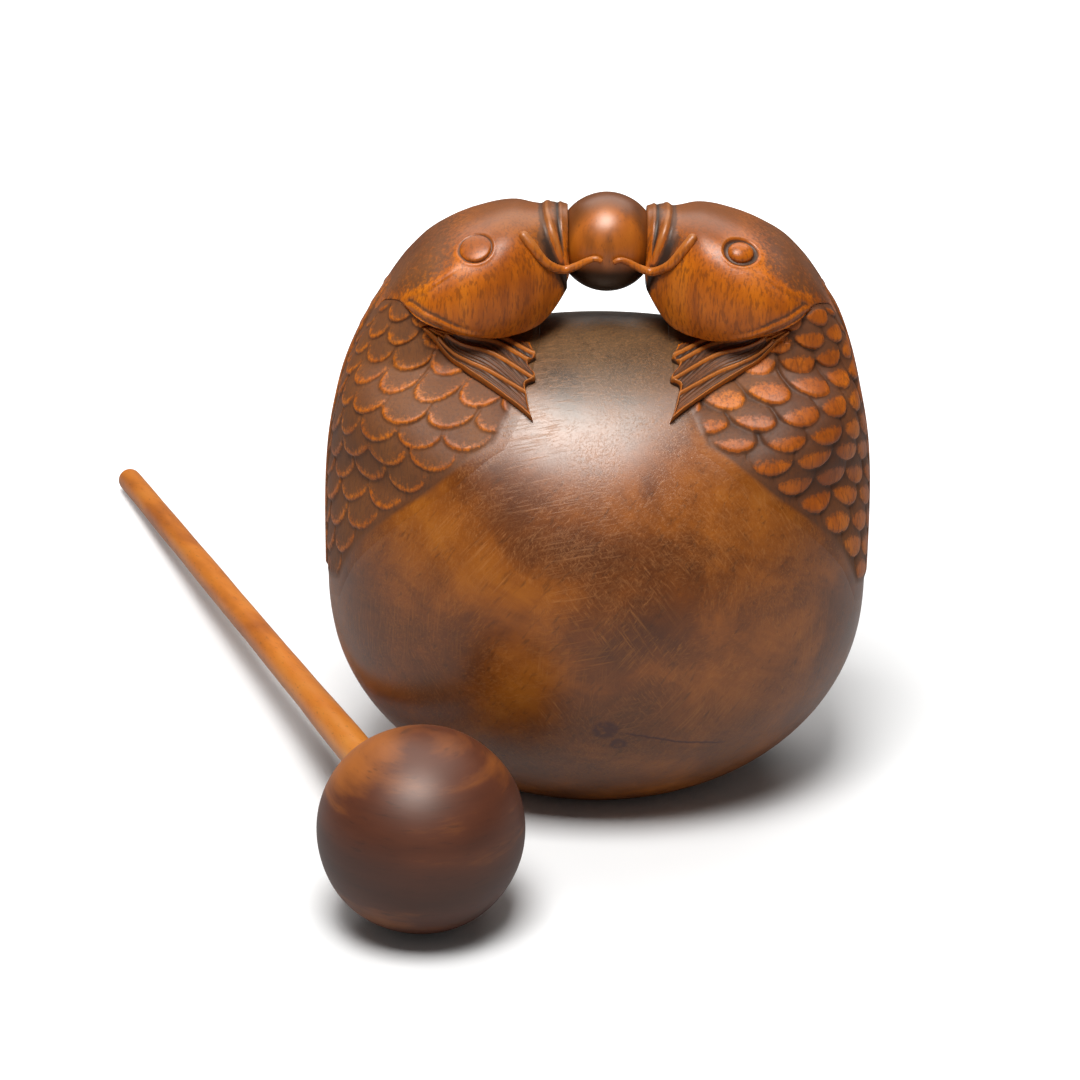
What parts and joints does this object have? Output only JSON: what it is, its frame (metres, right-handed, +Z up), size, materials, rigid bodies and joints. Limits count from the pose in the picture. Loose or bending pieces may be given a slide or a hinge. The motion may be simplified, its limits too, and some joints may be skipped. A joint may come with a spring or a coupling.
{
  "type": "wooden fish drum",
  "caption": "Round hollow wooden slit drum with two carved fish biting a pearl as its carrying loop, and a ball-headed mallet lying beside it.",
  "frame": {"origin": "on the table, under the middle of the drum, between the two flat lips it stands on", "axes": "+Z up, +X along the pair of fish to the right of the player, +Y away from the player"},
  "size_m": [0.2385, 0.3311, 0.1648],
  "materials": {
    "belly_wood": "satin, worn, dark brown with orange patches",
    "fish_wood": "satin, carved, dark in the recesses and worn on the edges",
    "pearl_wood": "polished",
    "dowel_wood": "raw, hidden",
    "mallet_wood": "satin, reddish brown",
    "stick_wood": "satin, orange brown"
  },
  "bodies": {
    "drum": {"sound_box": "belly_wood", "left_fish": "fish_wood", "right_fish": "fish_wood", "pearl": "pearl_wood", "fish_eyes": "fish_wood", "fish_dowels": "dowel_wood"},
    "mallet": {"mallet_head": "mallet_wood", "mallet_stick": "stick_wood"}
  },
  "joints": [
    {"name": "mallet_lift", "type": "slide", "parent": "drum", "child": "mallet", "axis": [-0.3419, 0, 0.9397], "range_m": [0, 0.2]}
  ]
}
